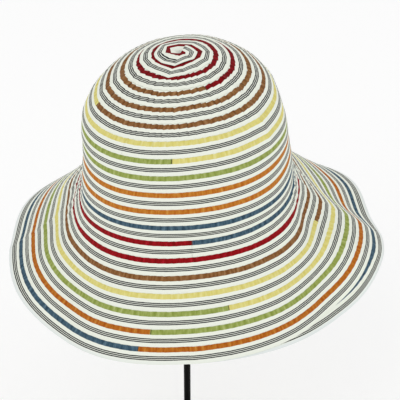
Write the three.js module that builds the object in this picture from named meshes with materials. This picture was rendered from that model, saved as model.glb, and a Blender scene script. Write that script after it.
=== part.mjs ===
import * as THREE from 'three';
import { mergeVertices } from 'three/addons/utils/BufferGeometryUtils.js';

// A wide brim sun hat, sewn from one striped ribbon in a spiral, on a plain rod stand.
// Millimetres, +Z up. The origin is the middle of the stand's underside, on the rod's axis.
// The hat's front faces -Y and its right side +X. Azimuths run from +X towards +Y, in degrees,
// and places down the hat are counted in turns of the ribbon from the crown's tip.

// Ribbon and walls
const ribbonPitch = 15;
const wallThickness = 1.6;
const lapStep = 0.6;
const lapRise = 0.03;
const seatGap = 0.3;

// In turns: where the first free edge crosses the front, where the crown's tip meets its
// side, where the side meets the brim, and how near the rim a free edge is the rim's own
const firstEdge = 0.925;
const shoulderTurn = 6.5;
const joinTurn = 12;
const lastTurn = 20;
const rimReach = 0.25;

// Place of the crown's tip over the stand, and the hat's tilt on it
const tip = { x: -3.3, y: 5, z: 515 };
const tiltToLeft = 1.8;

// Stand
const rod = { radius: 3.3, sides: 16 };
const base = { radius: 75, thickness: 8, edge: 2, hubRadius: 9, hubHeight: 16, socketFloor: 5, sides: 48 };
const cap = { turns: 2.3, rows: 5, sides: 30, depth: 14 };

// Facets of the cloth
const columns = 60;
const innerRows = 8;
const profileStep = 0.1;

// Slope of the crown below the horizontal, in degrees: its mean, how much steeper the two
// sides are than that, and how much steeper the back
const crownSections = [
  { turn: 0.0, slope: 0, sides: 0, back: 0 },
  { turn: 2.0, slope: 20, sides: 1.5, back: 0 },
  { turn: 4.0, slope: 36, sides: 3, back: 0 },
  { turn: 6.0, slope: 54, sides: 4, back: 2 },
  { turn: 8.0, slope: 80.5, sides: 9, back: 6 },
  { turn: 10.0, slope: 77, sides: 6.5, back: 4.5 },
  { turn: 11.5, slope: 85, sides: 2, back: 1.5 },
];

// Slope of the brim under the crown, half way down and near the rim, and the turn of the
// rim itself. The folds of the right side lie between azimuth -35 and 45, the shallow dent
// of the left one at 180. From azimuth 0 to -90 the ribbon's end slips under the turn above.
const brimTurns = { under: 13, middle: 16, low: 19.5 };
const brimSections = [
  { azimuth: -90, under: 62, middle: 51, low: 46, rim: 18.91 },
  { azimuth: -60, under: 62, middle: 56, low: 47, rim: 19.08 },
  { azimuth: -35, under: 59, middle: 58, low: 48, rim: 19.45 },
  { azimuth: -15, under: 68, middle: 26, low: 47, rim: 19.65 },
  { azimuth: 0, under: 59, middle: 35, low: 45, rim: 19.85 },
  { azimuth: 12, under: 61, middle: 44, low: 34, rim: 19.85 },
  { azimuth: 25, under: 63, middle: 38, low: 28, rim: 19.7 },
  { azimuth: 45, under: 53, middle: 45, low: 48, rim: 19.65 },
  { azimuth: 90, under: 55, middle: 47, low: 46, rim: 19.5 },
  { azimuth: 135, under: 54, middle: 47, low: 49, rim: 19.45 },
  { azimuth: 160, under: 58, middle: 42, low: 38, rim: 19.45 },
  { azimuth: 180, under: 66, middle: 41, low: 41, rim: 19.38 },
  { azimuth: 200, under: 67, middle: 42, low: 41, rim: 19.2 },
  { azimuth: 225, under: 63, middle: 53, low: 46, rim: 19.08 },
  { azimuth: 247, under: 54, middle: 50, low: 47, rim: 19.0 },
];

// The crown is oval, wider from side to side, and near the tip the oval is turned a little
const oval = { tip: { sides: 0.058, turned: 0.042 }, join: { sides: 0.091, turned: 0.012 } };

const hatPlace = new THREE.Matrix4()
  .makeRotationY(THREE.MathUtils.degToRad(-tiltToLeft))
  .setPosition(tip.x, tip.y, tip.z);

// One value of a table at a place between its rows, on a smooth curve through them.
// With a period the table closes on itself.
function smoothValue(rows, key, column, place, period) {
  const at = period ? rows[0][key] + THREE.MathUtils.euclideanModulo(place - rows[0][key], period) : place;
  const row = (index) => {
    if (!period) {
      const inside = THREE.MathUtils.clamp(index, 0, rows.length - 1);
      return { place: rows[inside][key], value: rows[inside][column] };
    }
    const lap = Math.floor(index / rows.length);
    const source = rows[index - lap * rows.length];
    return { place: source[key] + lap * period, value: source[column] };
  };
  const slopeAt = (index) => {
    const [before, here, after] = [row(index - 1), row(index), row(index + 1)];
    const left = here.place - before.place;
    const right = after.place - here.place;
    if (left === 0) return (after.value - here.value) / right;
    if (right === 0) return (here.value - before.value) / left;
    const rise = (after.value - here.value) / right;
    const fall = (here.value - before.value) / left;
    return (rise * left + fall * right) / (left + right);
  };
  let index = rows.findLastIndex((entry) => entry[key] <= at);
  if (!period) index = Math.min(Math.max(index, 0), rows.length - 2);
  const from = row(index);
  const to = row(index + 1);
  const span = to.place - from.place;
  const t = THREE.MathUtils.clamp((at - from.place) / span, 0, 1);
  const ease = t * t * (3 - 2 * t);
  const start = t * (1 - t) * (1 - t) * span * slopeAt(index);
  const finish = t * t * (t - 1) * span * slopeAt(index + 1);
  return from.value * (1 - ease) + to.value * ease + start + finish;
}

// The profile of the hat at one azimuth: radius, height and slope at any turn
function hatProfile(azimuth) {
  const angle = THREE.MathUtils.degToRad(azimuth);
  const sections = crownSections.map((row) => ({
    turn: row.turn,
    slope: row.slope + row.sides * Math.cos(2 * angle) + row.back * Math.sin(angle),
  }));
  for (const [name, turn] of Object.entries(brimTurns)) {
    sections.push({ turn, slope: smoothValue(brimSections, 'azimuth', name, azimuth, 360) });
  }
  const slope = (turn) => THREE.MathUtils.degToRad(smoothValue(sections, 'turn', 'slope', turn));
  const points = [{ radius: 0, height: 0 }];
  const count = Math.round(lastTurn / profileStep);
  for (let index = 1; index <= count; index += 1) {
    const middle = slope((index - 0.5) * profileStep);
    const last = points[index - 1];
    points.push({
      radius: last.radius + Math.cos(middle) * profileStep * ribbonPitch,
      height: last.height - Math.sin(middle) * profileStep * ribbonPitch,
    });
  }
  const joinRadius = points[Math.round(joinTurn / profileStep)].radius;
  return (turn, depth) => {
    const index = Math.min(Math.floor(turn / profileStep), count - 1);
    const part = turn / profileStep - index;
    const bare = THREE.MathUtils.lerp(points[index].radius, points[index + 1].radius, part);
    const height = THREE.MathUtils.lerp(points[index].height, points[index + 1].height, part);
    const down = THREE.MathUtils.smoothstep(turn, 0, joinTurn);
    const sides = THREE.MathUtils.lerp(oval.tip.sides, oval.join.sides, down) * Math.cos(2 * angle);
    const turned = THREE.MathUtils.lerp(oval.tip.turned, oval.join.turned, down) * Math.sin(2 * angle);
    const radius = bare + Math.min(bare, joinRadius) * (sides + turned);
    const reach = radius - Math.sin(slope(turn)) * depth;
    return new THREE.Vector3(
      reach * Math.cos(angle),
      reach * Math.sin(angle),
      height - Math.cos(slope(turn)) * depth,
    );
  };
}

// How far the spiral has come in at an azimuth: nothing at the front, half a turn at the back
const spiralLead = (azimuth) => (azimuth + 90) / 360;

const rimTurn = (azimuth) => smoothValue(brimSections, 'azimuth', 'rim', azimuth, 360);

// One azimuth's closed loop of points: down the outer face and back up the inner face. Each
// turn of ribbon rises to its free edge, which lies on the next turn.
function clothLoop(azimuth, shell) {
  const profile = hatProfile(azimuth);
  const end = shell.endAt(azimuth);
  const loop = [];
  const addOuter = (place, height) => {
    const turn = THREE.MathUtils.clamp(place, shell.start, end);
    const isBetween = turn > shell.start && turn < end;
    loop.push(profile(turn, isBetween ? -height : 0));
  };
  for (let edge = shell.firstTurn; edge <= shell.lastTurn; edge += 1) {
    const place = edge + firstEdge - spiralLead(azimuth);
    const isRim = place > end - shell.rimReach;
    addOuter(isRim ? end : place, lapStep / 2);
    addOuter(isRim ? end : place + lapRise, -lapStep / 2);
  }
  for (let row = 0; row <= innerRows; row += 1) {
    loop.push(profile(THREE.MathUtils.lerp(end, shell.start, row / innerRows), wallThickness));
  }
  return loop;
}

// Skin between closed loops that stand round an axis. Where the last loop meets the first
// one, the first shiftedRows points are paired a few places on, as the spiral needs.
function skinLoops(loops, shiftedRows = 0, shift = 0) {
  const positions = [];
  const triangle = (a, b, c) => {
    if (a.equals(b) || b.equals(c) || c.equals(a)) return;
    positions.push(...a.toArray(), ...b.toArray(), ...c.toArray());
  };
  loops.forEach((loop, index) => {
    const isLast = index === loops.length - 1;
    const next = isLast ? loops[0] : loops[index + 1];
    const across = (row) => next[isLast && row < shiftedRows ? Math.max(row - shift, 0) : row];
    loop.forEach((point, row) => {
      const below = (row + 1) % loop.length;
      triangle(point, loop[below], across(row));
      triangle(across(row), loop[below], across(below));
    });
  });
  const geometry = new THREE.BufferGeometry();
  geometry.setAttribute('position', new THREE.Float32BufferAttribute(positions, 3));
  const merged = mergeVertices(geometry);
  merged.computeVertexNormals();
  return merged;
}

// A cloth shell from one turn to another, or from one turn to the rim where reach is more
// than nothing. Its loops start at the back, where the spiral steps on by one turn.
function clothShell(start, endAt, reach) {
  const shell = { start, endAt, rimReach: reach };
  shell.firstTurn = Math.floor(start) - 2;
  shell.lastTurn = Math.ceil(endAt(0)) + 1;
  const loops = [];
  for (let column = 0; column < columns; column += 1) {
    loops.push(clothLoop(-270 + (360 * column) / columns, shell));
  }
  const edgeRows = 2 * (shell.lastTurn - shell.firstTurn + 1);
  return skinLoops(loops, edgeRows, 2);
}

function makeMesh(name, geometry, look) {
  const mesh = new THREE.Mesh(geometry, new THREE.MeshStandardMaterial(look));
  mesh.name = name;
  return mesh;
}

const tipLook = { color: 0xe4e8dc, roughness: 0.85, metalness: 0 };
const sideLook = { color: 0xdde0cd, roughness: 0.85, metalness: 0 };
const brimLook = { color: 0xd9dcc8, roughness: 0.85, metalness: 0 };
const standLook = { color: 0x141414, roughness: 0.45, metalness: 0.3 };

const turnGap = seatGap / ribbonPitch;

// Crown tip: the dome, down to the shoulder
function makeCrownTip() {
  return makeMesh('crown_tip', clothShell(0, () => shoulderTurn, 0), tipLook);
}

// Crown side: the wall round the head, from the shoulder to the join
function makeCrownSide() {
  return makeMesh('crown_side', clothShell(shoulderTurn + turnGap, () => joinTurn, 0), sideLook);
}

// Brim: from just under the join to the wavy rim
function makeBrim() {
  return makeMesh('brim', clothShell(joinTurn + turnGap, rimTurn, rimReach), brimLook);
}

// Stand top: a rounded cap that fits under the crown's tip, flat underneath
const capFloor = tip.z - wallThickness - seatGap - cap.depth;

function makeStandTop() {
  const loops = [];
  for (let side = 0; side < cap.sides; side += 1) {
    const profile = hatProfile((360 * side) / cap.sides);
    const loop = [];
    for (let row = 0; row <= cap.rows; row += 1) {
      const point = profile((cap.turns * row) / cap.rows, wallThickness + seatGap);
      loop.push(point.applyMatrix4(hatPlace));
    }
    const rim = loop[cap.rows];
    loop.push(new THREE.Vector3(rim.x, rim.y, capFloor));
    loop.push(new THREE.Vector3(tip.x, tip.y, capFloor));
    loops.push(loop);
  }
  return makeMesh('stand_top', skinLoops(loops), standLook);
}

// Stand rod: a straight bar from the base's socket to the cap
function makeStandRod() {
  const bottom = base.socketFloor + seatGap;
  const top = capFloor - seatGap;
  const bar = new THREE.CylinderGeometry(rod.radius, rod.radius, top - bottom, rod.sides);
  bar.rotateX(Math.PI / 2);
  const mesh = makeMesh('stand_rod', bar, standLook);
  mesh.position.z = (top + bottom) / 2;
  return mesh;
}

// Stand base: a round plate with a low hub that holds the rod in a blind socket
function makeStandBase() {
  const socketRadius = rod.radius + seatGap;
  const outline = [
    [0, 0],
    [base.radius - base.edge, 0],
    [base.radius, base.edge],
    [base.radius, base.thickness - base.edge],
    [base.radius - base.edge, base.thickness],
    [base.hubRadius + base.edge, base.thickness],
    [base.hubRadius, base.thickness + base.edge],
    [base.hubRadius, base.hubHeight],
    [socketRadius, base.hubHeight],
    [socketRadius, base.socketFloor],
    [0, base.socketFloor],
  ];
  const profile = outline.map(([across, up]) => new THREE.Vector2(across, up));
  const plate = new THREE.LatheGeometry(profile, base.sides);
  plate.rotateX(Math.PI / 2);
  return makeMesh('stand_base', plate, standLook);
}

const hat = new THREE.Group();
hat.add(makeCrownTip(), makeCrownSide(), makeBrim());
hat.applyMatrix4(hatPlace);

const part = new THREE.Group();
part.add(hat, makeStandTop(), makeStandRod(), makeStandBase());

export default part;
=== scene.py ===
import bpy
import math
import numpy as np
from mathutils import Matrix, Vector


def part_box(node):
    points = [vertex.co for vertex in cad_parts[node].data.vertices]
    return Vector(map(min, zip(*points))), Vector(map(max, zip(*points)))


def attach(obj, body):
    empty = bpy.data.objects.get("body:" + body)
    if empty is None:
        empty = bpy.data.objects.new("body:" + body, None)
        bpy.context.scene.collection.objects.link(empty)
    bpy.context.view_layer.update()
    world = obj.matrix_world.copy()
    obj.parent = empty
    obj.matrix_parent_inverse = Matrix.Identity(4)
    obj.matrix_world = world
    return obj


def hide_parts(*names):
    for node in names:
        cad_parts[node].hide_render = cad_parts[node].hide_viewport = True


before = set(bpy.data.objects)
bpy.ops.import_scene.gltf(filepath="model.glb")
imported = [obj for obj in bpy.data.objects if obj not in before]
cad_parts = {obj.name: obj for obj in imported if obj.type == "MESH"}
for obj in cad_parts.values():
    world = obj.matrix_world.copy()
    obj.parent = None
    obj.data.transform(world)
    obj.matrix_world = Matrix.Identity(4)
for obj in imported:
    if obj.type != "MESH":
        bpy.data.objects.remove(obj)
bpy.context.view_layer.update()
print("frame loaded")


# A short table with named columns, as one array for each column
def table(columns, *rows):
    names = columns.split()
    values = np.array(rows, dtype=float).T
    return dict(zip(names, values))


# Camera, at the photo's angle: it looks down on the hat's front by about 40 degrees
camera = {
    "target": (0.0126, 0.005, 0.3547),
    "elevation": 39.8,
    "distance": 1.464,
    "lens": 146.6,
    "sensor": 36.0,
    "clipEnd": 50.0,
}


def makeCamera():
    data = bpy.data.cameras.new("camera")
    data.lens = camera["lens"]
    data.sensor_width = camera["sensor"]
    data.sensor_height = camera["sensor"]
    data.clip_end = camera["clipEnd"]
    lookout = bpy.data.objects.new("camera", data)
    rise = math.radians(camera["elevation"])
    back = Vector((0, -math.cos(rise), math.sin(rise))) * camera["distance"]
    lookout.location = Vector(camera["target"]) + back
    lookout.rotation_euler = (math.pi / 2 - rise, 0, 0)
    bpy.context.scene.collection.objects.link(lookout)
    bpy.context.scene.camera = lookout


makeCamera()


# The hat's shape, from the same few sections as its solids. Places down the hat are
# counted in turns of the ribbon from the crown's tip, slopes in degrees below level.
hatShape = {
    "pitch": 0.015,
    "tip": (-0.0033, 0.005, 0.515),
    "tiltToLeft": 1.8,
    "joinTurn": 12.0,
    "lastTurn": 20.4,
    "step": 0.05,
    "crown": table(
        "turn slope sides back",
        (0.0, 0, 0, 0),
        (2.0, 20, 1.5, 0),
        (4.0, 36, 3, 0),
        (6.0, 54, 4, 2),
        (8.0, 80.5, 9, 6),
        (10.0, 77, 6.5, 4.5),
        (11.5, 85, 2, 1.5),
    ),
    "brimTurns": {"under": 13.0, "middle": 16.0, "low": 19.5},
    "brim": table(
        "azimuth under middle low rim",
        (-90, 62, 51, 46, 18.91),
        (-60, 62, 56, 47, 19.08),
        (-35, 59, 58, 48, 19.45),
        (-15, 68, 26, 47, 19.65),
        (0, 59, 35, 45, 19.85),
        (12, 61, 44, 34, 19.85),
        (25, 63, 38, 28, 19.7),
        (45, 53, 45, 48, 19.65),
        (90, 55, 47, 46, 19.5),
        (135, 54, 47, 49, 19.45),
        (160, 58, 42, 38, 19.45),
        (180, 66, 41, 41, 19.38),
        (200, 67, 42, 41, 19.2),
        (225, 63, 53, 46, 19.08),
        (247, 54, 50, 47, 19.0),
    ),
    "ovalTip": {"sides": 0.058, "turned": 0.042},
    "ovalJoin": {"sides": 0.091, "turned": 0.012},
}


# A smooth curve through the rows of a table, for one column or for many at once
def smoothCurve(places, values, at, period=None):
    values = np.asarray(values, dtype=float)
    if period:
        at = places[0] + np.mod(at - places[0], period)
        places = np.concatenate([places[-2:] - period, places, places[:2] + period])
        values = np.concatenate([values[-2:], values, values[:2]])
    columns = values.reshape(len(values), -1)
    spans = np.diff(places)[:, None]
    slopes = np.diff(columns, axis=0) / spans
    tangents = np.empty_like(columns)
    tangents[0] = slopes[0]
    tangents[-1] = slopes[-1]
    tangents[1:-1] = (slopes[1:] * spans[:-1] + slopes[:-1] * spans[1:]) / (spans[:-1] + spans[1:])
    row = np.clip(np.searchsorted(places, at, side="right") - 1, 0, len(places) - 2)
    span = spans[row]
    t = np.clip((at - places[row])[:, None] / span, 0, 1)
    ease = t * t * (3 - 2 * t)
    start = t * (1 - t) ** 2 * span * tangents[row]
    finish = t * t * (t - 1) * span * tangents[row + 1]
    result = columns[row] * (1 - ease) + columns[row + 1] * ease + start + finish
    return result.reshape((len(at),) + values.shape[1:])


def smoothStep(value, low, high):
    t = np.clip((value - low) / (high - low), 0, 1)
    return t * t * (3 - 2 * t)


# Radius, height and slope of the hat at every degree round it and down its turns
def buildHatGrid():
    step = hatShape["step"]
    crown = hatShape["crown"]
    brim = hatShape["brim"]
    angles = np.radians(np.arange(360))
    slopeRows = crown["slope"][:, None] + crown["sides"][:, None] * np.cos(2 * angles)
    slopeRows = slopeRows + crown["back"][:, None] * np.sin(angles)
    brimRows = [
        smoothCurve(brim["azimuth"], brim[name], np.arange(360.0), 360)
        for name in hatShape["brimTurns"]
    ]
    slopes = np.vstack([slopeRows, brimRows])
    places = np.concatenate([crown["turn"], list(hatShape["brimTurns"].values())])
    turns = np.arange(0, hatShape["lastTurn"] + step / 2, step)
    middle = np.radians(smoothCurve(places, slopes, turns[:-1] + step / 2))
    reach = step * hatShape["pitch"]
    bare = np.vstack([np.zeros(360), np.cumsum(np.cos(middle) * reach, axis=0)])
    height = np.vstack([np.zeros(360), -np.cumsum(np.sin(middle) * reach, axis=0)])
    joinRadius = bare[int(round(hatShape["joinTurn"] / step))]
    down = smoothStep(turns, 0, hatShape["joinTurn"])[:, None]
    tip = hatShape["ovalTip"]
    join = hatShape["ovalJoin"]
    sides = (tip["sides"] * (1 - down) + join["sides"] * down) * np.cos(2 * angles)
    turned = (tip["turned"] * (1 - down) + join["turned"] * down) * np.sin(2 * angles)
    radius = bare + np.minimum(bare, joinRadius) * (sides + turned)
    slope = np.radians(smoothCurve(places, slopes, turns))
    return np.stack([radius, height, slope])


hatGrid = buildHatGrid()


# Bilinear reading of the grid, for arrays of azimuths in degrees and turns
def readHat(azimuth, turn):
    column = np.mod(azimuth, 360)
    left = np.floor(column).astype(int) % 360
    right = (left + 1) % 360
    across = column - np.floor(column)
    row = np.clip(turn / hatShape["step"], 0, hatGrid.shape[1] - 1.001)  # a row must follow
    top = np.floor(row).astype(int)
    down = row - top
    upper = hatGrid[:, top, left] * (1 - across) + hatGrid[:, top, right] * across
    lower = hatGrid[:, top + 1, left] * (1 - across) + hatGrid[:, top + 1, right] * across
    return upper * (1 - down) + lower * down


# Finer shape of the cloth: sharp ridges that run down the brim and the crown's shoulder,
# dents and slight waves. Ridges rise from start on and fade, over some turns, to a share.
surfaceDetail = {
    "riseOver": 2,  # turns over which a ridge or a wave rises
    "hollow": 0.5,  # depth of the hollow round a ridge, as a share of its height
    "phaseStep": 1.7,  # angle by which each wave starts later than the one before
    "ridges": table(
        "azimuth start end over share height width",
        (0, 13.2, 19.8, 1, 0.5, 0.0025, 8),
        (181, 13.6, 19.8, 1, 0.5, 0.0026, 7),
        (-34, 1.2, 8.5, 2.5, 0, 0.0062, 9),
        (-165.5, 1.8, 7.0, 3, 0, 0.0028, 9),
    ),
    "dents": table(
        "azimuth turn depth width height",
        (10, 7.0, 0.0038, 14, 1.1),
        (172, 7.4, 0.0013, 28, 2.0),
        (180, 10.5, 0.0024, 35, 2.6),
        (38, 17.5, 0.0030, 24, 3.0),
        (138, 17.6, 0.0045, 15, 2.8),
        (60, 17.8, 0.0060, 14, 3.0),
    ),
    "waves": table(
        "round down start end height",
        (7, 0.5, 12.5, 20, 0.00040),
        (11, -0.9, 12.5, 20, 0.00030),
        (17, 1.3, 12.0, 20, 0.00018),
        (5, 0.8, 3.0, 13, 0.00025),
        (9, -1.1, 2.0, 13, 0.00018),
    ),
}


def angleBetween(azimuth, place):
    return np.abs(np.mod(azimuth - place + 180, 360) - 180)


def surfaceLift(azimuth, turn):
    lift = np.zeros(np.broadcast(azimuth, turn).shape)
    riseOver = surfaceDetail["riseOver"]
    ridges = surfaceDetail["ridges"]
    for place, start, end, over, share, height, width in zip(*ridges.values()):
        off = angleBetween(azimuth, place) / width
        fade = (1 - share) * smoothStep(turn, end - over, end)
        window = smoothStep(turn, start, start + riseOver) * (1 - fade)
        hollow = surfaceDetail["hollow"] * np.exp(-(off / 2) ** 2)
        lift = lift + height * window * (np.exp(-off) - hollow)
    dents = surfaceDetail["dents"]
    for place, middle, depth, width, height in zip(*dents.values()):
        off = angleBetween(azimuth, place) / width
        lift = lift - depth * np.exp(-(off ** 2) - ((turn - middle) / height) ** 2)
    waves = surfaceDetail["waves"]
    for number, (around, down, start, end, height) in enumerate(zip(*waves.values())):
        window = smoothStep(turn, start, start + riseOver)
        window = window * (1 - smoothStep(turn, end - riseOver, end + riseOver))
        phase = surfaceDetail["phaseStep"] * number
        lift = lift + height * window * np.sin(np.radians(azimuth * around) + turn * down + phase)
    return lift


# Points that stand a small height off the hat's surface, tilted and in place
def hatPoints(azimuth, turn, rise):
    radius, height, slope = readHat(azimuth, turn)
    rise = rise + surfaceLift(azimuth, turn)
    angle = np.radians(azimuth)
    reach = radius + np.sin(slope) * rise
    up = height + np.cos(slope) * rise
    across = reach * np.cos(angle)
    along = reach * np.sin(angle)
    tilt = math.radians(-hatShape["tiltToLeft"])
    tip = hatShape["tip"]
    return np.stack([
        tip[0] + across * math.cos(tilt) + up * math.sin(tilt),
        tip[1] + along,
        tip[2] - across * math.sin(tilt) + up * math.cos(tilt),
    ], axis=-1)


# The ribbon. It winds outward from the tip, clockwise from above, and each turn's free
# edge lies on the next turn. Across the ribbon, 0 is the colour stripe and 1 is a turn.
ribbon = {
    "start": -0.45,
    "end": 19.0,
    "lead": 0.095,  # how far out the colour stripe lies from its own turn
    "freeEdge": 0.83,
    "hiddenEdge": -0.44,
    "thickness": 0.0005,
    "seat": -0.00085,  # height of the ribbon's underside above the hat's surface
    "lap": 1.15,  # rise toward the free edge, in thicknesses
    "stripeHalf": 0.146,
    "lines": (0.386, 0.48, 0.574),
    "middleLine": 0.48,
    "lineHalf": 0.0305,
    "pathSteps": 12000,
    "pathPlace": 0.33,  # the ribbon's length is measured at this place across it
    "pathLeast": 0.3,
    # The pleats: their spacing in metres, how far each swings the ribbon sideways in turns,
    # the height of its fold in metres, and how straight the ribbon is between two of them
    "seed": 7,
    "spacingChance": (0.75, 1.25),
    "foldChance": (0.5, 1.2),
    "pleatStep": 0.14,  # the part of a pleat in which the ribbon swings back
    # how far past each fold line the painted crease shade reaches, as a share of the pleat
    "creaseShadeWidth": 0.4,
    "deepFold": 0.0005,  # a fold of this height gets the darkest painted crease shade
    "lineShare": 0.4,  # how much of the stripe's swing the lines follow
    "pleats": table(
        "turn spacing swing fold straight",
        (0.0, 0.0110, 0.060, 0.00045, 1.0),
        (1.2, 0.0070, 0.072, 0.00045, 1.0),
        (3.0, 0.0065, 0.070, 0.00045, 0.9),
        (5.0, 0.0060, 0.050, 0.00040, 0.5),
        (6.0, 0.0055, 0.026, 0.00022, 0.3),
        (7.5, 0.0060, 0.016, 0.00012, 0.0),
        (10.8, 0.0060, 0.014, 0.00012, 0.0),
        (11.6, 0.0065, 0.022, 0.00028, 0.0),
        (14.0, 0.0065, 0.022, 0.00026, 0.0),
        (15.5, 0.0080, 0.018, 0.00012, 0.0),
        (20.0, 0.0080, 0.014, 0.00008, 0.0),
    ),
    # The first folds, round the tip: where the colour stripe and the middle line turn a
    # corner, in turns of ribbon from the tip. Small pleats come between the last of them.
    "largeFoldsTo": 1.15,
    "tipFolds": table(
        "turn stripe line",
        (-0.45, 0.02, 0.49),
        (-0.26, 0.10, 0.58),
        (-0.14, 0.18, 0.68),
        (0.05, 0.11, 0.95),
        (0.155, 0.12, 0.98),
        (0.226, 0.30, 1.09),
        (0.27, 0.68, 1.20),
        (0.375, 1.08, 1.49),
        (0.46, 0.99, 1.34),
        (0.58, 0.94, 1.37),
        (0.657, 0.86, 1.37),
        (0.715, 1.04, 1.43),
        (0.80, 0.95, 1.45),
        (0.895, 0.91, 1.43),
        (0.987, 1.08, 1.57),
        (1.057, 1.30, 1.74),
        (1.145, 1.24, 1.66),
        (1.256, 1.47, 1.95),
        (1.377, 1.84, 2.30),
        (1.467, 1.80, 2.28),
        (1.603, 1.95, 2.43),
        (1.714, 1.84, 2.32),
        (1.835, 1.93, 2.41),
        (1.945, 2.00, 2.48),
        (2.07, 2.10, 2.58),
        (2.2, 2.27, 2.76),
        (2.6, 2.695, 3.175),
    ),
}

# Where each colour of the stripe begins, in turns. The red round the tip and the last orange are
# the same dye as the other red and orange, painted darker as painted shade.
colourTurns = [
    (0.0, "shadedRed"),
    (2.917, "brown"),
    (5.2, "yellow"),
    (7.017, "green"),
    (8.5, "orange"),
    (10.5, "blue"),
    (11.992, "red"),
    (13.5, "brown"),
    (14.783, "yellow"),
    (15.958, "green"),
    (17.033, "shadedOrange"),
    (18.042, "blue"),
]


def pathAzimuth(turn):
    return -90 - 360 * turn


# The ribbon's length from its start to each place on its path
def measurePath():
    turns = np.linspace(ribbon["start"], ribbon["end"], ribbon["pathSteps"] + 1)
    middle = np.maximum(turns + ribbon["lead"] + ribbon["pathPlace"], ribbon["pathLeast"])
    points = hatPoints(pathAzimuth(turns), middle, np.zeros_like(turns))
    steps = np.linalg.norm(np.diff(points, axis=0), axis=1)
    return turns, np.concatenate([[0], np.cumsum(steps)])


pathTurns, pathLengths = measurePath()


# The pleats: their lengths along the ribbon, and where the colour stripe and the middle
# line lie at each, in turns from the tip. Past the tip's own folds they come by chance.
def placePleats():
    chance = np.random.default_rng(ribbon["seed"])
    pleats = ribbon["pleats"]
    folds = ribbon["tipFolds"]
    large = folds["turn"][folds["turn"] < ribbon["largeFoldsTo"]]
    places = np.interp(large, pathTurns, pathLengths).tolist()
    while places[-1] < pathLengths[-1]:
        turn = np.interp(places[-1], pathLengths, pathTurns)
        spacing = np.interp(turn, pleats["turn"], pleats["spacing"])
        places.append(places[-1] + spacing * chance.uniform(*ribbon["spacingChance"]))
    places = np.array(places)
    turns = np.interp(places, pathLengths, pathTurns)
    first = len(large)
    swing = np.interp(turns, pleats["turn"], pleats["swing"])
    swing[:first] = 0
    out = 0.5 * swing * chance.uniform(-1, 1, len(places))
    stripe = turns + np.interp(turns, folds["turn"], folds["stripe"] - folds["turn"]) + out
    line = turns + np.interp(turns, folds["turn"], folds["line"] - folds["turn"])
    line = line + ribbon["lineShare"] * out
    return {
        "place": places,
        "turn": turns,
        "swing": swing,
        "stripe": stripe,
        "line": line,
        "fold": chance.uniform(*ribbon["foldChance"], len(places)),
    }


pleatsAlong = placePleats()


# The ribbon is gathered at the sides of the hat, most where crown and brim meet
gather = {
    "sides": (0.8, 1.0),  # cosines of the azimuth where it begins and is full
    "begins": (10.8, 11.8),
    "eases": (13.2, 14.6),
    "easing": 0.65,
    "strength": 6,
}


# How hard the ribbon is gathered, from 0 to 1
def sidePull(turn):
    sides = smoothStep(np.abs(np.cos(np.radians(pathAzimuth(turn)))), *gather["sides"])
    eased = gather["easing"] * smoothStep(turn, *gather["eases"])
    return sides * smoothStep(turn, *gather["begins"]) * (1 - eased)


# Where the colour stripe and the middle line run, how far the pleats lift the ribbon and
# how dark the shade painted into their creases is, from 0 to 1
def followPleats(length, turn):
    pleats = ribbon["pleats"]
    index = np.searchsorted(pleatsAlong["place"], length, side="right") - 1
    index = np.clip(index, 0, len(pleatsAlong["place"]) - 2)
    start = pleatsAlong["place"][index]
    part = (length - start) / (pleatsAlong["place"][index + 1] - start)
    straight = np.interp(turn, pleats["turn"], pleats["straight"])
    fromAngle = 2 * np.pi * (turn - pleatsAlong["turn"][index])
    toAngle = 2 * np.pi * (pleatsAlong["turn"][index + 1] - turn)
    pull = sidePull(turn)
    stronger = 1 + gather["strength"] * pull
    soft = smoothStep(part, 0, ribbon["pleatStep"])
    saw = pleatsAlong["swing"][index] * (part - 0.5) * stronger
    lineShare = ribbon["lineShare"] + (1 - ribbon["lineShare"]) * pull
    runs = []
    for name, share in (("stripe", 1), ("line", lineShare)):
        near = pleatsAlong[name][index]
        far = pleatsAlong[name][index + 1]
        chord = near * far * np.sin(fromAngle + toAngle)
        chord = chord / (near * np.sin(fromAngle) + far * np.sin(toAngle))
        plain = near * (1 - part) + far * part
        runs.append(plain + (chord - plain) * straight + share * saw * (2 * soft - 1))
    fold = np.interp(turn, pleats["turn"], pleats["fold"]) * pleatsAlong["fold"][index]
    # painted shade in the crease just past each fold line, darkest where the fold is deepest
    paintedCreaseShade = (1 - smoothStep(part, 0, ribbon["creaseShadeWidth"])) * (fold / ribbon["deepFold"]) ** 2
    return runs[0], runs[1], fold * (1 - part) * soft * stronger, np.clip(paintedCreaseShade, 0, 1)


# How much further out the rim lies than the plain spiral, round the last turn, in turns
def rimShift(turn):
    last = np.clip(turn, ribbon["end"] - 1, ribbon["end"])
    brim = hatShape["brim"]
    rim = smoothCurve(brim["azimuth"], brim["rim"], pathAzimuth(last), 360)
    plain = last + ribbon["lead"] + ribbon["freeEdge"]
    return np.where(turn > ribbon["end"] - 1, rim - plain, 0)


# Across the ribbon: over its top to the free edge, round it and back underneath. Level is
# the height within its thickness.
section = table(
    "place level",
    (-0.30, 1.0),
    (-0.17, 1.0),
    (-0.10, 1.0),
    (0.00, 1.0),
    (0.12, 1.0),
    (0.24, 1.0),
    (0.37, 1.0),
    (0.48, 1.0),
    (0.59, 1.0),
    (0.70, 1.0),
    (0.78, 1.05),
    (0.815, 1.05),
    (0.829, 0.8),
    (0.833, 0.5),
    (0.829, 0.2),
    (0.815, 0.0),
    (0.70, 0.0),
    (0.48, 0.0),
    (0.24, 0.0),
    (0.00, 0.0),
    (-0.17, 0.0),
    (-0.30, 0.0),
)


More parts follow.
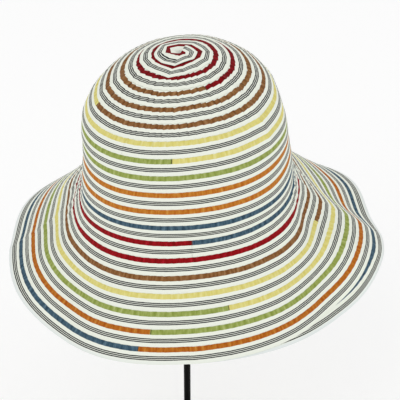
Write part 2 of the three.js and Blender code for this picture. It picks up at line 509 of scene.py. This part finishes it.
# How the ribbon lies. Each pair says from where to where a change takes place, in turns
# down the hat or in places across the ribbon.
lie = {
    "tipReach": 0.35,  # how much further the ribbon reaches under the next one near the tip
    "tipReachTurns": (0, 4),
    "middleReach": 0.8,  # and in its first turn, so that it closes the tip's middle
    "middleReachTurns": (0.6, 1.0),
    "narrow": 0.2,
    "narrowTurns": (0.4, 1.2),
    "rimPlaces": (0.3, 0.83),
    "cover": 0.09,  # how much further the free edge reaches where the ribbon is gathered
    "coverTurns": (12.3, 12.9),
    "coverPlaces": (0.55, 0.83),
    "lapPlaces": (-0.17, 0.5),
    "foldPlaces": (-0.25, 0.2),
    "startTurns": (-0.1, 0.5),
    "startPlaces": (-0.4, 0.1),
    "tuckTurns": (18.75, 18.95),
    "tuckDepth": 1.6,  # the ribbon's end slips under the turn above, in thicknesses
    "seamReach": 0.01,
    "rimTintTurns": (17.9, 18.2),
    "rimTintPlaces": (0.59, 0.67),
}


# One length of the ribbon, as a closed strip with its own colours to read
def makeRibbon(name, fromTurn, toTurn, spacing):
    firstLength, lastLength = np.interp([fromTurn, toTurn], pathTurns, pathLengths)
    count = int(round((lastLength - firstLength) / spacing))
    length = np.linspace(firstLength, lastLength, count + 1)
    turn = np.interp(length, pathLengths, pathTurns)
    stripe, line, fold, paintedCreaseShade = followPleats(length, turn)
    rim = rimShift(turn)

    hidden = ribbon["hiddenEdge"] - lie["tipReach"] * (1 - smoothStep(turn, *lie["tipReachTurns"]))
    hidden = hidden - lie["middleReach"] * (1 - smoothStep(turn, *lie["middleReachTurns"]))
    hidden = np.maximum(hidden, -stripe)[:, None]
    place = np.hstack([hidden, np.maximum(section["place"], hidden), hidden])
    level = np.concatenate([[1.0], section["level"], [0.0]])

    turnHere = turn[:, None]
    middle = ribbon["middleLine"]
    spread = (line - stripe - middle)[:, None]
    spot = stripe[:, None] + place + spread * np.clip(place / middle, 0, 1)
    narrow = lie["narrow"] * (1 - smoothStep(turnHere, *lie["narrowTurns"]))
    spot = spot - narrow * np.maximum(place - middle, 0)
    spot = spot + np.minimum(rim, 0)[:, None]
    spot = spot + np.maximum(rim, 0)[:, None] * smoothStep(place, *lie["rimPlaces"])
    covering = lie["cover"] * sidePull(turnHere) * (1 - smoothStep(turnHere, *lie["coverTurns"]))
    spot = spot + covering * smoothStep(place, *lie["coverPlaces"])
    spot = np.maximum(spot, 0)

    thickness = ribbon["thickness"]
    rise = ribbon["seat"] + ribbon["lap"] * thickness * smoothStep(place, *lie["lapPlaces"])
    rise = rise + level * thickness
    rise = rise + fold[:, None] * smoothStep(place, *lie["foldPlaces"])
    rise = rise - lie["tuckDepth"] * thickness * smoothStep(turnHere, *lie["tuckTurns"])
    atStart = 1 - smoothStep(turnHere, *lie["startTurns"])
    rise = rise + thickness * atStart * smoothStep(place, *lie["startPlaces"])

    azimuth = np.broadcast_to(pathAzimuth(turnHere), spot.shape)
    points = hatPoints(azimuth, spot, rise)
    rows, columns = spot.shape
    index = np.arange(rows * columns).reshape(rows, columns)
    along = index[:-1]
    beyond = index[1:]
    faces = np.stack([
        along,
        np.roll(along, -1, axis=1),
        np.roll(beyond, -1, axis=1),
        beyond,
    ], axis=-1).reshape(-1, 4)
    caps = [list(index[0][::-1]), list(index[-1])]
    changeTurns = [changeTurn for changeTurn, _ in colourTurns[1:]]
    changes = np.interp(changeTurns, pathTurns, pathLengths)
    offsets = length[:, None] - changes[None, :]
    nearest = offsets[np.arange(rows), np.abs(offsets).argmin(axis=1)]
    nearest = np.clip(nearest, -lie["seamReach"], lie["seamReach"])
    rimTint = smoothStep(turnHere, *lie["rimTintTurns"]) * smoothStep(place, *lie["rimTintPlaces"])
    values = {
        "along": np.repeat(length, columns),
        "across": place.ravel(),
        # painted shade for the pleats' creases, for the shader to read
        "paintedCreaseShade": np.repeat(paintedCreaseShade, columns),
        "rim": rimTint.ravel(),
        "colour": np.repeat(np.searchsorted(changes, length, side="right"), columns),
        "seamOffset": np.repeat(nearest, columns),
    }
    return makeMesh(name, points.reshape(-1, 3), faces.tolist() + caps, values)


def makeMesh(name, points, faces, values=None):
    mesh = bpy.data.meshes.new(name)
    mesh.from_pydata(np.asarray(points).tolist(), [], faces)
    for key, numbers in (values or {}).items():
        layer = mesh.attributes.new(key, "FLOAT", "POINT")
        layer.data.foreach_set("value", np.asarray(numbers, dtype=np.float32))
    mesh.shade_smooth()
    mesh.update()
    piece = bpy.data.objects.new(name, mesh)
    bpy.context.scene.collection.objects.link(piece)
    return piece


# Shader maths: a value is one socket, and sums on it add their own nodes
class Value:
    def __init__(self, finish, socket):
        self.finish = finish
        self.socket = socket

    def math(self, operation, *values):
        inputs = dict(enumerate(values))
        return self.finish.node("ShaderNodeMath", {"operation": operation}, inputs)

    def __add__(self, other):
        return self.math("ADD", self, other)

    def __radd__(self, other):
        return self.math("ADD", other, self)

    def __sub__(self, other):
        return self.math("SUBTRACT", self, other)

    def __rsub__(self, other):
        return self.math("SUBTRACT", other, self)

    def __mul__(self, other):
        return self.math("MULTIPLY", self, other)

    def __rmul__(self, other):
        return self.math("MULTIPLY", other, self)

    def __truediv__(self, other):
        return self.math("DIVIDE", self, other)

    def __abs__(self):
        return self.math("ABSOLUTE", self)

    def sine(self):
        return self.math("SINE", self)

    def within(self, low, high):
        return self.math("MINIMUM", self.math("MAXIMUM", self, low), high)

    # 1 inside a band round a middle, falling to 0 over a soft edge
    def band(self, middle, half, soft):
        return ((half - abs(self - middle)) / soft + 0.5).within(0, 1)


# One material, and the one method that makes its nodes
class Finish:
    def __init__(self, name):
        self.material = bpy.data.materials.new(name)
        self.material.use_nodes = True
        self.tree = self.material.node_tree
        self.tree.nodes.clear()

    def node(self, kind, settings=None, inputs=None, output=0):
        made = self.tree.nodes.new(kind)
        for key, setting in (settings or {}).items():
            if key == "stops":
                setStops(made.color_ramp, setting)
            elif key == "stepped":
                made.color_ramp.interpolation = "CONSTANT"
            else:
                setattr(made, key, setting)
        for key, value in (inputs or {}).items():
            if isinstance(value, Value):
                self.tree.links.new(value.socket, made.inputs[key])
            else:
                made.inputs[key].default_value = value
        return Value(self, made.outputs[output]) if made.outputs else None

    def read(self, name):
        return self.node("ShaderNodeAttribute", {"attribute_name": name}, output="Fac")

    def mix(self, factor, first, second, blend="MIX"):
        settings = {"data_type": "RGBA", "blend_type": blend}
        return self.node("ShaderNodeMix", settings, {0: factor, 6: first, 7: second}, 2)

    # Noise from 0 to 1 on two running lengths
    def noise(self, first, second, scale, detail=2.0):
        spot = self.node("ShaderNodeCombineXYZ", inputs={0: first, 1: second})
        inputs = {"Vector": spot, "Scale": scale, "Detail": detail}
        return self.node("ShaderNodeTexNoise", inputs=inputs)

    def finish(self, shader):
        self.node("ShaderNodeOutputMaterial", inputs={"Surface": shader})
        return self.material


def setStops(ramp, stops):
    while len(ramp.elements) > 1:
        ramp.elements.remove(ramp.elements[-1])
    for place, colour in stops:
        stop = ramp.elements[0] if place == 0 else ramp.elements.new(place)
        stop.position = place
        stop.color = colour


# A colour as a paint chart gives it, 0 to 255, turned into the shader's linear scale
def paint(red, green, blue):
    chart = np.array([red, green, blue]) / 255
    linear = np.where(chart <= 0.04045, chart / 12.92, ((chart + 0.055) / 1.055) ** 2.4)
    return (*linear.tolist(), 1.0)


ribbonColours = {
    # the red round the tip: the same red, painted darker as painted shade
    "shadedRed": paint(136, 8, 21),
    "red": paint(155, 10, 24),
    "brown": paint(147, 106, 66),
    "yellow": paint(225, 216, 139),
    "green": paint(160, 172, 98),
    "orange": paint(197, 129, 50),
    # the orange on the lower brim: the same orange, painted darker as painted shade
    "shadedOrange": paint(188, 116, 40),
    "blue": paint(77, 103, 119),
}
ribbonFinish = {
    "ground": paint(243, 246, 235),
    "groundShade": paint(232, 236, 223),
    "rimGround": paint(231, 236, 234),
    "line": paint(3, 4, 10),
    "lineLight": paint(20, 23, 34),
    "seam": paint(70, 55, 40),
    # painted shade in the pleats' creases: the stripe and the band of lines are multiplied by this
    # there
    "creaseShade": (0.52, 0.50, 0.50, 1.0),
    "roughness": 0.86,
    "gloss": 0.12,
    "sheen": 0.05,
    "threadScale": 900.0,
    "fray": 0.012,  # how far threads make a stripe's edge waver, in turns
    "beadScale": 1500.0,
    "beadStretch": 0.1,  # less than 1 draws the specks out across the ribbon
    "mottleScale": 300.0,
    "mottleStretch": 0.25,
    "mottleDetail": 3.0,
    "mottleFrom": 0.36,
    "mottleGain": 2.8,
    "mottleDark": 1.4,  # gamma where the stripe is darkest, and how much less where lightest
    "mottleSpan": 0.65,
    "stripeSoft": 0.015,
    "lineSoft": 0.006,
    "lineBandHalf": 0.13,
    "lineBandSoft": 0.02,
    "seamHalf": 0.0004,
    "seamSoft": 0.0002,
    "seamShare": 0.8,
}
ribbonRelief = {
    "ribSpacing": 0.0007,
    "ribHeight": 0.6,
    "threadHeight": 0.6,
    "stitchPlace": 0.77,
    "stitchSpacing": 0.0026,
    "stitchSharp": 2,
    "stitchShare": 1.2,  # more makes each stitch longer and the gap after it shorter
    "stitchHeight": 3.0,
    "grooveHalf": 0.014,
    "grooveSoft": 0.02,
    "grooveDepth": 2.0,
    "strength": 0.35,
    "distance": 0.00012,
}


# The ribs of the weave, its threads and a row of stitches near the free edge, as a bump
def raiseWeave(cloth, along, frayed, threads):
    relief = ribbonRelief
    ribs = (along * (2 * math.pi / relief["ribSpacing"])).sine() * 0.5 + 0.5
    groove = frayed.band(relief["stitchPlace"], relief["grooveHalf"], relief["grooveSoft"])
    stitches = (along * (2 * math.pi / relief["stitchSpacing"])).sine()
    stitches = stitches * relief["stitchSharp"] + relief["stitchShare"]
    stitches = stitches.within(0, 1) * groove
    height = ribs * relief["ribHeight"] + threads * relief["threadHeight"]
    height = height - groove * relief["grooveDepth"] + stitches * relief["stitchHeight"]
    return cloth.node("ShaderNodeBump", inputs={
        "Strength": relief["strength"],
        "Distance": relief["distance"],
        "Height": height,
    })


# Woven ribbon: an off-white ground with one colour stripe and three thin dark lines, and painted
# shade in the pleats' creases
def weaveRibbon(name):
    cloth = Finish(name)
    finish = ribbonFinish
    along = cloth.read("along")
    across = cloth.read("across")
    width = across * hatShape["pitch"]
    threads = cloth.noise(along, width, finish["threadScale"])
    frayed = across + (threads - 0.5) * finish["fray"]

    count = len(colourTurns)
    stops = [(number / count, ribbonColours[key]) for number, (_, key) in enumerate(colourTurns)]
    stripe = cloth.node(
        "ShaderNodeValToRGB",
        {"stepped": True, "stops": stops},
        {"Fac": (cloth.read("colour") + 0.5) / count},
    )
    stretched = width * finish["mottleStretch"]
    mottle = cloth.noise(along, stretched, finish["mottleScale"], finish["mottleDetail"])
    mottle = ((mottle - finish["mottleFrom"]) * finish["mottleGain"]).within(0, 1)
    gamma = finish["mottleDark"] - mottle * finish["mottleSpan"]
    stripe = cloth.node("ShaderNodeGamma", inputs={"Color": stripe, "Gamma": gamma})
    seam = cloth.read("seamOffset").band(0, finish["seamHalf"], finish["seamSoft"])
    stripe = cloth.mix(seam * finish["seamShare"], stripe, finish["seam"])

    ground = cloth.mix(threads, finish["groundShade"], finish["ground"])
    ground = cloth.mix(cloth.read("rim"), ground, finish["rimGround"])
    lines = 0
    for place in ribbon["lines"]:
        lines = lines + frayed.band(place, ribbon["lineHalf"], finish["lineSoft"])
    beads = cloth.noise(along, width * finish["beadStretch"], finish["beadScale"])
    lineColour = cloth.mix(beads, finish["line"], finish["lineLight"])
    colour = cloth.mix(lines.within(0, 1), ground, lineColour)

    stripeBand = frayed.band(0, ribbon["stripeHalf"], finish["stripeSoft"])
    lineBand = frayed.band(ribbon["middleLine"], finish["lineBandHalf"], finish["lineBandSoft"])
    colour = cloth.mix(stripeBand, colour, stripe)
    # painted shade in the pleats' creases, over the colour stripe and the band of lines
    creaseShaded = cloth.mix(1.0, colour, finish["creaseShade"], "MULTIPLY")
    colour = cloth.mix(cloth.read("paintedCreaseShade") * (stripeBand + lineBand), colour, creaseShaded)
    shader = cloth.node("ShaderNodeBsdfPrincipled", inputs={
        "Base Color": colour,
        "Roughness": finish["roughness"],
        "Specular IOR Level": finish["gloss"],
        "Sheen Weight": finish["sheen"],
        "Normal": raiseWeave(cloth, along, frayed, threads),
    })
    return cloth.finish(shader)


def placePiece(piece, node, material):
    piece.data.materials.append(material)
    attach(piece, "root")
    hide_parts(node)


ribbonPieces = [
    {"node": "crown_tip", "slot": "tip_ribbon", "turns": (-0.45, 6.1), "spacing": 0.0008},
    {"node": "crown_side", "slot": "side_ribbon", "turns": (6.1, 11.992), "spacing": 0.0011},
    {"node": "brim", "slot": "brim_ribbon", "turns": (11.992, 19.0), "spacing": 0.0015},
]
for part in ribbonPieces:
    piece = makeRibbon(part["node"] + "_ribbon", *part["turns"], part["spacing"])
    placePiece(piece, part["node"], weaveRibbon(part["slot"]))
    print("ribbon made", part["node"], len(piece.data.polygons))


# A closed body of rings with equally many points, from its lowest ring to its highest
def joinRings(name, rings):
    sides = len(rings[0])
    faces = []
    for ring in range(len(rings) - 1):
        low = ring * sides
        high = low + sides
        for side in range(sides):
            beside = (side + 1) % sides
            faces.append([low + side, low + beside, high + beside, high + side])
    last = (len(rings) - 1) * sides
    faces.append(list(range(sides))[::-1])
    faces.append(list(range(last, last + sides)))
    return makeMesh(name, np.concatenate(rings), faces)


# A round body turned from a profile of (radius, height) points
def turnBody(name, profile, sides):
    angles = 2 * np.pi * np.arange(sides) / sides
    rings = []
    for radius, height in profile:
        flat = [radius * np.cos(angles), radius * np.sin(angles), np.full(sides, height)]
        rings.append(np.stack(flat, axis=-1))
    return joinRings(name, rings)


def roundCorner(radius, height, corner, fromAngle, toAngle, steps=6):
    angles = np.radians(np.linspace(fromAngle, toAngle, steps + 1))
    return [(radius + corner * math.cos(a), height + corner * math.sin(a)) for a in angles]


# The stand: a steel rod in a round base, and a cap that carries the crown's tip
stand = {
    "core": 0.0004,  # radius of the small flat in the middle of each turned end
    "rodRadius": 0.0033,
    "rodEdge": 0.0005,
    "rodSides": 48,
    "baseRadius": 0.075,
    "baseThickness": 0.008,
    "baseCorner": 0.0018,
    "hubRadius": 0.009,
    "hubTop": 0.016,
    "hubCorner": 0.0012,
    "hubFillet": 0.002,
    "socketFloor": 0.005,
    "baseSides": 128,
    "gap": 0.0003,
    "wall": 0.0016,
    "capStart": 0.02,  # the cap's first ring and its breadth, in turns of the ribbon
    "capTurns": 2.3,
    "capDepth": 0.014,
    "capCorner": 0.0015,
    "capSides": 72,
    "capRows": 12,
    "capCornerRings": 5,
}


def makeRod():
    low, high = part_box("stand_rod")
    radius = stand["rodRadius"]
    edge = stand["rodEdge"]
    profile = [(stand["core"], low[2])]
    profile += roundCorner(radius - edge, low[2] + edge, edge, -90, 0, 4)
    profile += roundCorner(radius - edge, high[2] - edge, edge, 0, 90, 4)
    profile += [(stand["core"], high[2])]
    return turnBody("stand_rod_bar", profile, stand["rodSides"])


def makeBase():
    corner = stand["baseCorner"]
    hubCorner = stand["hubCorner"]
    radius = stand["baseRadius"]
    thickness = stand["baseThickness"]
    hub = stand["hubRadius"]
    fillet = stand["hubFillet"]
    socket = stand["rodRadius"] + stand["gap"]
    profile = [(stand["core"], 0.0)]
    profile += roundCorner(radius - corner, corner, corner, -90, 0)
    profile += roundCorner(radius - corner, thickness - corner, corner, 0, 90)
    profile += roundCorner(hub + fillet, thickness + fillet, fillet, -90, -180)
    profile += roundCorner(hub - hubCorner, stand["hubTop"] - hubCorner, hubCorner, 0, 90)
    profile += [
        (socket, stand["hubTop"]),
        (socket, stand["socketFloor"]),
        (stand["core"], stand["socketFloor"]),
    ]
    return turnBody("stand_base_plate", profile, stand["baseSides"])


# The cap follows the inside of the crown's tip, with a rounded corner round its flat underside
def makeCap():
    sides = stand["capSides"]
    rows = stand["capRows"]
    corner = stand["capCorner"]
    azimuths = np.arange(sides) * 360 / sides
    inset = -stand["wall"] - stand["gap"]
    floor = hatShape["tip"][2] + inset - stand["capDepth"]
    rings = []
    for row in range(rows + 1):
        turn = np.full(sides, stand["capStart"] + stand["capTurns"] * row / rows)
        rings.append(hatPoints(azimuths, turn, np.full(sides, inset)))
    edge = rings[-1]
    middle = edge.mean(axis=0)
    breadth = stand["capTurns"] * hatShape["pitch"]
    for bend in np.linspace(0, math.pi / 2, stand["capCornerRings"]):
        shrink = 1 - corner * (1 - math.cos(bend)) / breadth
        ring = middle + (edge - middle) * shrink
        ring[:, 2] = floor + corner - corner * math.sin(bend)
        rings.append(ring)
    return joinRings("stand_top_cap", rings[::-1])


standFinishes = {
    "stand_metal": {
        "colour": paint(6, 6, 6),
        "roughness": 0.42,
        "grainScale": 900.0,
        "grainDepth": 0.00005,
    },
    "stand_cap": {
        "colour": paint(18, 18, 18),
        "roughness": 0.6,
        "grainScale": 600.0,
        "grainDepth": 0.00008,
    },
}
standCoat = {
    "patchScale": 35.0,
    "patchLift": 1.5,
    "unevenness": 0.2,
    "bumpStrength": 0.4,
    "gloss": 0.05,
}


# A plain black coat with a fine grain and broad, slightly lighter patches
def paintStand(slot):
    coat = Finish(slot)
    finish = standFinishes[slot]
    spot = coat.node("ShaderNodeTexCoord", output="Object")
    fine = {"Vector": spot, "Scale": finish["grainScale"], "Detail": 3.0}
    fine = coat.node("ShaderNodeTexNoise", inputs=fine)
    broad = {"Vector": spot, "Scale": standCoat["patchScale"], "Detail": 2.0}
    broad = coat.node("ShaderNodeTexNoise", inputs=broad)
    lighter = [standCoat["patchLift"] * part for part in finish["colour"][:3]] + [1.0]
    bump = coat.node("ShaderNodeBump", inputs={
        "Strength": standCoat["bumpStrength"],
        "Distance": finish["grainDepth"],
        "Height": fine,
    })
    shader = coat.node("ShaderNodeBsdfPrincipled", inputs={
        "Base Color": coat.mix(broad, finish["colour"], lighter),
        "Roughness": finish["roughness"] + (fine - 0.5) * standCoat["unevenness"],
        "Specular IOR Level": standCoat["gloss"],
        "Normal": bump,
    })
    return coat.finish(shader)


metal = paintStand("stand_metal")
placePiece(makeRod(), "stand_rod", metal)
placePiece(makeBase(), "stand_base", metal)
placePiece(makeCap(), "stand_top", paintStand("stand_cap"))
print("stand made")


# Studio: a pale floor, white surroundings and two wide soft lights
studio = {
    "floorSize": 8.0,
    "floorHeight": -0.0003,
    "floorColour": paint(214, 214, 214),
    "floorRoughness": 0.9,
    "floorGlow": 0.375,
    "worldStrength": 0.79,
    "lights": [
        {"name": "key", "place": (-0.9, -1.3, 2.2), "size": 1.6, "watts": 9.0},
        {"name": "fill", "place": (1.4, -0.6, 1.8), "size": 1.6, "watts": 4.0},
    ],
}


def makeFloor():
    half = studio["floorSize"] / 2
    height = studio["floorHeight"]
    corners = [(x * half, y * half, height) for x, y in [(-1, -1), (1, -1), (1, 1), (-1, 1)]]
    floor = makeMesh("floor", corners, [[0, 1, 2, 3]])
    pale = Finish("floor")
    shader = pale.node("ShaderNodeBsdfPrincipled", inputs={
        "Base Color": studio["floorColour"],
        "Roughness": studio["floorRoughness"],
        "Emission Color": (1.0, 1.0, 1.0, 1.0),
        "Emission Strength": studio["floorGlow"],
    })
    floor.data.materials.append(pale.finish(shader))


def makeLights():
    world = bpy.data.worlds.new("studio")
    bpy.context.scene.world = world
    world.use_nodes = True
    background = world.node_tree.nodes["Background"]
    background.inputs["Color"].default_value = (1, 1, 1, 1)
    background.inputs["Strength"].default_value = studio["worldStrength"]
    for light in studio["lights"]:
        data = bpy.data.lights.new(light["name"], "AREA")
        data.energy = light["watts"]
        data.size = light["size"]
        lamp = bpy.data.objects.new(light["name"], data)
        lamp.location = light["place"]
        aim = Vector(camera["target"]) - lamp.location
        lamp.rotation_euler = aim.to_track_quat("-Z", "Y").to_euler()
        bpy.context.scene.collection.objects.link(lamp)


bpy.context.scene.view_settings.view_transform = "Standard"
makeFloor()
makeLights()
print("studio made")
